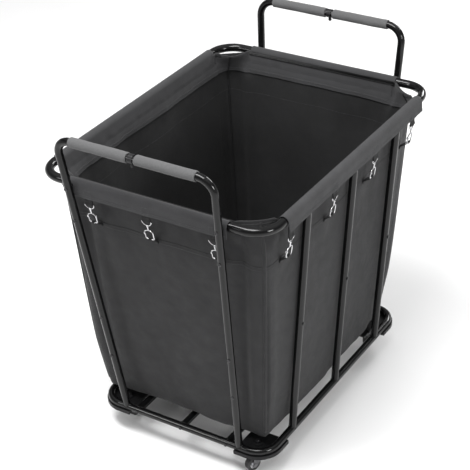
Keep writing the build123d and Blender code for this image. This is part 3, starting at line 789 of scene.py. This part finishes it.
def corner_columns():
    """Index in a section of the middle of each round corner."""
    found, index = [], 0
    for side in SIDES:
        index += (ALONG_END if side in ("front", "rear") else ALONG_SIDE) + 1
        found.append(index + AROUND // 2 - 1)
        index += AROUND - 1
    return found


SEAM_WIDTHS = (-0.0026, -0.0020, -0.0010, 0.0, 0.0010, 0.0020, 0.0026)
SEAM_STAND, SEAM_CROWN = 0.0010, 0.0018              # how far a corner seam and its middle stand proud
SEAM_INSIDE = 0.0046               # from the outer seam to the bound edges inside
SEAM_ROW = 0.0042                  # from a corner seam's middle to the stitches beside it


def corner_seams(rows):
    """Folded seam that stands a little proud down each corner, with a row of stitches each side, and
    the bound edges of the two panels inside."""
    heights = [i for i, z in enumerate(levels()) if FLOOR_Z + FOLD_R + 0.002 < z < FREE_Z]
    lines = []
    for number, column in enumerate(corner_columns()):
        path, outs = [], []
        for i in heights:
            before, here, after = rows[i][column - 3], rows[i][column], rows[i][column + 3]
            along = after - before
            out = Vector((along.y, -along.x, 0)).normalized()
            path.append(here + out * SEAM_STAND)
            outs.append(out)
        strip(f"corner_seam_{number + 1}", path, SEAM_WIDTHS, outs, "bag_fabric", CLOTH, SEAM_CROWN)
        inner = [p - out * SEAM_INSIDE for p, out in zip(path, outs)]
        strip(f"inner_seam_{number + 1}", inner, (-0.0013, 0.0, 0.0013), outs, "webbing", 0.0018)
        for offset in (-SEAM_ROW, SEAM_ROW):
            line = []
            for p, out in zip(path, outs):
                across = out.cross(Vector((0, 0, 1))).normalized()
                line.append((p + across * offset - out * 0.0013, out))
            lines.append(line)
    stitches("seam_stitches", lines)


HEM_REACH = 60                     # points each side of a corner among which its free edge lies


def rim_hems(rows):
    """Turned hem along the free edge round each corner: a flat binding over the cloth's edge."""
    lines = []
    total = len(rows[0])
    for number, column in enumerate(corner_columns()):
        path = [rows[0][(column + k) % total] for k in range(-HEM_REACH, HEM_REACH + 1)]
        path = [p for p in path if p.z > TUCK_Z + 0.0004]
        outs, points, uvs, length = [], [], [], 0.0
        for i, p in enumerate(path):
            way = path[min(i + 1, len(path) - 1)] - path[max(i - 1, 0)]
            outs.append(Vector((way.y, -way.x, 0)).normalized())
            length += way.length / 2
            for n, z in HEM_SHAPE:
                points.append(p + outs[-1] * n + Vector((0, 0, z)))
                uvs.append((length, z))
        count = len(HEM_SHAPE)
        faces = [tuple(range(count)), tuple(len(points) - 1 - k for k in range(count))]
        for r in range(len(path) - 1):
            for k in range(count):
                m = (k + 1) % count
                faces.append((r * count + k, r * count + count + k, r * count + count + m, r * count + m))
        piece(f"rim_hem_{number + 1}", points, faces, "bag_fabric", uvs=uvs)
        for way in (-1, 1):
            lines.append([(p + out * way * 0.0017 + Vector((0, 0, -0.0070)), out * way)
                          for p, out in zip(path, outs)])
    stitches("rim_stitches", lines)


# ---- webbing on the snap hooks ----
EYE_R, HOOK_R = 0.0014, 0.0016     # wires of a hook's eye and of its ring
FOLD_GAP = 0.0002                  # between a wire and the webbing folded round it
TAB_HALF = WEB / 2 + 0.00003       # from the bar's plane to the middle of each layer of a tab
FOLD_STEPS = 10


def strap(path, x, width):
    """Rows of points of a flat strap of webbing that follows a path square to x."""
    return [[p + x * width * share for share in (-0.5, -0.44, 0.44, 0.5)] for p in path]


def add_strap(store, rows):
    """Adds a strap to a store of points, faces and uvs."""
    points, faces, uvs = store
    faces += grid_faces(len(rows), len(rows[0]), first=len(points))
    length = 0.0
    for i, row in enumerate(rows):
        length += (row[0] - rows[max(i - 1, 0)][0]).length
        uvs += [((p - row[0]).length, length) for p in row]
    points += flatten(rows)


def in_section(side, along, pairs):
    """Points of a plane square to a side, from pairs of distance outwards and height."""
    out, run = axes(side)
    return [out * n + run * along + Vector((0, 0, height)) for n, height in pairs]


def tab_path(bar, low):
    """A tab's middle line: down behind the flap, round the eye's bar at height low, and up again."""
    radius = EYE_R + WEB / 2 + FOLD_GAP
    heights = (TAB_TOP, 0.5 * (TAB_TOP + low), low + 0.0055)
    turns = [a * pi / FOLD_STEPS for a in range(FOLD_STEPS + 1)]
    fold = [(bar - radius * cos(turn), low - radius * sin(turn)) for turn in turns]
    return [(bar - TAB_HALF, z) for z in heights] + fold + [(bar + TAB_HALF, z) for z in reversed(heights)]


def loop_path(wall, foot, foot_z):
    """A loop's middle line: from the seam on the wall, round the hook's lowest bar and back."""
    radius = HOOK_R + WEB / 2 + FOLD_GAP
    slope = Vector((foot - wall, foot_z - SEAM_Z)).normalized()
    square = Vector((-slope.y, slope.x))
    pairs = [(wall, SEAM_Z - 0.006), (wall, SEAM_Z + 0.002)]
    for a in range(FOLD_STEPS + 1):
        turn = pi * a / FOLD_STEPS
        spot = square * cos(turn) * radius + slope * sin(turn) * radius
        pairs.append((foot + spot.x, foot_z + spot.y))
    return pairs + [(wall + WEB + 0.0012, SEAM_Z + 0.001), (wall + WEB, SEAM_Z - 0.006)]


def cross_stitch(side, along, pair, x, reach):
    """Straight row of stitches across a strap, to both sides of a point of its section."""
    out, _ = axes(side)
    middle = in_section(side, along, [pair])[0]
    return [(middle - x * reach, out), (middle + x * reach, out)]


def box_stitch(side, along):
    """Square of stitches that holds a tab, seen on the outside of the flap."""
    out, _ = axes(side)
    low, high, half = HEM_Z - 0.0035, HEM_Z + 0.0130, TAB_WIDTH / 2 - 0.0015
    corners = [(-half, low), (half, low), (half, high), (-half, high), (-half, low)]
    line = []
    for (x1, z1), (x2, z2) in zip(corners, corners[1:]):
        for i in range(6):
            x, z = x1 + (x2 - x1) * i / 6, z1 + (z2 - z1) * i / 6
            line.append((flap_point(side, along + x, z, 0.0003), out))
    return line + line[:1]


def webbing():
    """Tabs that hold the hooks' eyes, folded round the bar and sewn up behind the flap, and the thin
    loops on the seam of the wall that the hooks are clipped to."""
    tabs, loops, lines = ([], [], []), ([], [], []), []
    for side, origin, x, z in HOOKS:
        out, run = axes(side)
        along = origin.dot(run)

        bar = origin.dot(out)
        add_strap(tabs, strap(in_section(side, along, tab_path(bar, origin.z)), x, TAB_WIDTH))
        for height in (origin.z + 0.0075, origin.z + 0.0100):
            lines.append(cross_stitch(side, along, (bar + TAB_HALF + WEB / 2, height), x, TAB_WIDTH * 0.43))
        lines.append(box_stitch(side, along))

        foot = origin + z * HOOK_FOOT
        wall = wall_at(side, along, SEAM_Z, CLOTH / 2 + WEB / 2 + 0.0009).dot(out)
        path = loop_path(wall, foot.dot(out), foot.z)
        add_strap(loops, strap(in_section(side, along, path), x, LOOP_WIDTH))
        lines.append(cross_stitch(side, along, (wall + 1.5 * WEB, SEAM_Z - 0.004), x, LOOP_WIDTH * 0.4))
    made = []
    for name, (points, faces, uvs) in (("hook_tabs", tabs), ("hook_loops", loops)):
        obj = piece(name, points, faces, "webbing", uvs=uvs)
        thicken(obj, WEB)
        modify(obj, "BEVEL", width=0.0003, segments=1, limit_method="ANGLE")
        made.append(obj)
    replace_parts(made[0], "hook_webbing")
    stitches("webbing_stitches", lines)


# ---- foam grips ----
GRIP_START = 0.011                 # from the middle of the handle
GRIP_ROWS, GRIP_AROUND = 46, 40


def foam_grip(end, side):
    """Foam sleeve with soft rounded ends, a little uneven where it is gripped."""
    low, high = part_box(f"foam_grips_{end}")
    radius = (high.z - low.z) / 2
    y, z = (low.y + high.y) / 2, (low.z + high.z) / 2
    bore = TUBE_R + 0.0001
    lip = [(0.0012, bore), (0.0, bore + 0.0006), (0.0, radius - 0.0016), (0.0005, radius - 0.0005),
           (0.0016, radius)]
    stations = [(GRIP_START + x, r) for x, r in lip]
    for i in range(1, GRIP_ROWS):
        stations.append((GRIP_START + (high.x - GRIP_START) * i / GRIP_ROWS, radius))
    stations += [(high.x - x, r) for x, r in reversed(lip)]
    rows = []
    for x, r in stations:
        row = []
        for k in range(GRIP_AROUND):
            turn = 2 * pi * k / GRIP_AROUND
            dent = noise.noise(Vector((x * 26.0 * side, cos(turn) * 0.9, sin(turn) * 0.9 + 3 * side)))
            flat = -0.0007 * max(0.0, sin(turn)) ** 6
            grown = r + (dent * 0.0007 + flat) * (r > bore + 0.001)
            row.append(Vector((side * x, y + grown * cos(turn), z + grown * sin(turn))))
        rows.append(row)
    faces = grid_faces(len(rows), GRIP_AROUND, closed=True)
    if side > 0:
        faces = [tuple(reversed(face)) for face in faces]
    name = f"foam_grip_{end}_{'right' if side > 0 else 'left'}"
    obj = piece(name, flatten(rows), faces, "grip_foam")
    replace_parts(obj, f"foam_grips_{end}")


# ---- weld beads ----
LEG_FOOT_X = 0.168                 # where the legs stand on the base ring's ends
BEAD_R = 0.0013


def bead(path, radius, seed):
    """Rippled bead of weld along a closed path."""
    points = []
    around, count = 8, len(path)
    for i, p in enumerate(path):
        way = (path[(i + 1) % count] - path[i - 1]).normalized()
        side = way.orthogonal().normalized()
        lift = way.cross(side)
        size = radius * (1 + 0.22 * sin(i * 1.9) + 0.2 * noise.noise(Vector((i * 0.7, seed, 0))))
        for k in range(around):
            turn = 2 * pi * k / around
            points.append(p + (side * cos(turn) + lift * sin(turn)) * size)
    return points, grid_faces(count + 1, around, closed=True)


def saddle(foot, way, tube_way, count=48):
    """Closed line where a tube that leaves foot along way meets a tube through foot along tube_way."""
    way, tube_way = way.normalized(), tube_way.normalized()
    u = (tube_way - way * tube_way.dot(way)).normalized()
    v = way.cross(u)
    radius = TUBE_R * 1.004
    line = []
    for i in range(count):
        turn = 2 * pi * i / count
        spoke = (u * cos(turn) + v * sin(turn)) * radius
        aside = spoke - tube_way * spoke.dot(tube_way)
        across = way - tube_way * way.dot(tube_way)
        a, b, c = across.dot(across), 2 * aside.dot(across), aside.dot(aside) - radius ** 2
        reach = (-b + sqrt(max(b * b - 4 * a * c, 0.0))) / (2 * a)
        line.append(foot + spoke + way * reach)
    return line


def weld_places():
    """Foot, way up and way of the tube it stands on, for every tube welded to the base ring."""
    base_x, base_y = BASE_HIGH.x - TUBE_R, -BASE_LOW.y - TUBE_R
    rise = RING_Z - BASE_Z
    places = []
    for side, name in ((-1, "left"), (1, "right")):
        for place in ("front", "middle", "rear"):
            low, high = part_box(f"side_post_{name}_{place}")
            foot = Vector((side * base_x, (low.y + high.y) / 2, BASE_Z))
            places.append((foot, Vector((side * (RING_X - base_x) / rise, 0, 1)), Vector((0, 1, 0))))
    for x in (BAR_LOW.x + TUBE_R, 0.0, BAR_HIGH.x - TUBE_R):
        for end in (-1, 1):
            places.append((Vector((x, end * base_y, BASE_Z)), Vector((0, -end, 0)), Vector((1, 0, 0))))
    for end, name in ((-1, "front"), (1, "rear")):
        low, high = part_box(f"lower_legs_{name}")
        rise = high.z - BASE_Z
        lean_y = (max(abs(low.y), abs(high.y)) - TUBE_R - base_y) / rise
        lean_x = (high.x - TUBE_R - LEG_FOOT_X) / rise
        for side in (-1, 1):
            foot = Vector((side * LEG_FOOT_X, end * base_y, BASE_Z))
            places.append((foot, Vector((side * lean_x, end * lean_y, 1)), Vector((1, 0, 0))))
    return places


def welds():
    points, faces = [], []
    for seed, (foot, way, tube_way) in enumerate(weld_places()):
        made, loops = bead(saddle(foot, way, tube_way), BEAD_R, seed)
        count = len(made)
        faces += [tuple(len(points) + index % count for index in face) for face in loops]
        points += made
    piece("weld_beads", points, faces, "black_tube")


# ---- camera, light and floor ----
AZIMUTH, ELEVATION, ROLL = radians(33.0), radians(31.7), radians(-2.8)
CAMERA_PLACE = Vector((1.6939, -2.5789, 2.3590))
LENS, SENSOR = 109.47, 36.0        # in millimetres, as Blender has them
LENS_SHIFT = (-0.0412, -0.0014)


def camera():
    """Camera at the photograph's viewing angle, from a fit to the rings, legs and handles."""
    back = Vector((sin(AZIMUTH) * cos(ELEVATION), -cos(AZIMUTH) * cos(ELEVATION), sin(ELEVATION)))
    right = Vector((cos(AZIMUTH), sin(AZIMUTH), 0))
    up = back.cross(right)
    right, up = right * cos(ROLL) + up * sin(ROLL), up * cos(ROLL) - right * sin(ROLL)
    data = bpy.data.cameras.new("camera")
    data.lens, data.sensor_width = LENS, SENSOR
    data.shift_x, data.shift_y = LENS_SHIFT
    obj = bpy.data.objects.new("camera", data)
    turned = Matrix((right, up, back)).transposed().to_4x4()
    obj.matrix_world = Matrix.Translation(CAMERA_PLACE) @ turned
    bpy.context.scene.collection.objects.link(obj)
    bpy.context.scene.camera = obj


def softbox(name, place, target, size, power):
    data = bpy.data.lights.new(name, "AREA")
    data.shape, data.size, data.size_y = "RECTANGLE", size[0], size[1]
    data.energy = power
    obj = bpy.data.objects.new(name, data)
    obj.location = place
    obj.rotation_euler = (Vector(target) - Vector(place)).to_track_quat("-Z", "Y").to_euler()
    bpy.context.scene.collection.objects.link(obj)


# Brightness of the studio round the cart by height: sine of the elevation and share of the ceiling's.
SKY = ((0.0, 0.66), (0.12, 0.62), (0.30, 0.20), (0.45, 0.20), (0.85, 1.0))
CEILING_LIGHT = 0.85


def sky():
    """Plain studio surround: a pale horizon, dim walls above it and a broad bright ceiling."""
    world = bpy.data.worlds.new("studio")
    world.use_nodes = True
    nodes, links = world.node_tree.nodes, world.node_tree.links
    split, ramp = nodes.new("ShaderNodeSeparateXYZ"), nodes.new("ShaderNodeValToRGB")
    while len(ramp.color_ramp.elements) < len(SKY):
        ramp.color_ramp.elements.new(0.5)
    for element, (height, share) in zip(ramp.color_ramp.elements, SKY):
        element.position = height
        element.color = (share, share, share, 1)
    links.new(nodes.new("ShaderNodeTexCoord").outputs["Generated"], split.inputs["Vector"])
    links.new(split.outputs["Z"], ramp.inputs["Fac"])
    links.new(ramp.outputs["Color"], nodes["Background"].inputs["Color"])
    nodes["Background"].inputs["Strength"].default_value = CEILING_LIGHT
    bpy.context.scene.world = world
    bpy.context.scene.view_settings.view_transform = "Standard"


FLOOR_REACH = 30.0


def floor():
    corners = [(x * FLOOR_REACH, y * FLOOR_REACH, 0) for x, y in ((-1, -1), (1, -1), (1, 1), (-1, 1))]
    mesh = bpy.data.meshes.new("floor")
    mesh.from_pydata(corners, [], [(0, 1, 2, 3)])
    mesh.materials.append(floor_material())
    obj = bpy.data.objects.new("floor", mesh)
    bpy.context.scene.collection.objects.link(obj)


def studio():
    middle = (0, 0, 0.45)
    softbox("key", (-1.8, -2.8, 2.2), middle, (0.7, 0.7), 26)
    softbox("fill", (3.2, -1.0, 1.8), middle, (0.9, 0.9), 52)
    softbox("back", (0.6, 3.4, 2.2), middle, (1.8, 0.6), 60)
    softbox("top", (-0.3, -0.9, 3.3), (0, 0, 0.7), (2.2, 1.0), 110)
    sky()
    floor()


camera()
studio()
bag_rows = bag()
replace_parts(collar("front"), "bag_collars")
for side in SIDES[1:]:
    collar(side)
rim_hems(bag_rows)
band_round("seam_band", SEAM_Z - 0.006, SEAM_Z + 0.006, 0.0008, "bag_fabric", 0.0006)
facing(bag_rows)
band_round("facing_hem", BAND_Z[0], BAND_Z[0] + 0.011, -0.0030, "collar_fabric", 0.0011)
corner_seams(bag_rows)
hem_stitches()
band_stitches()
webbing()
for end in ("front", "rear"):
    for side in (-1, 1):
        foam_grip(end, side)
welds()
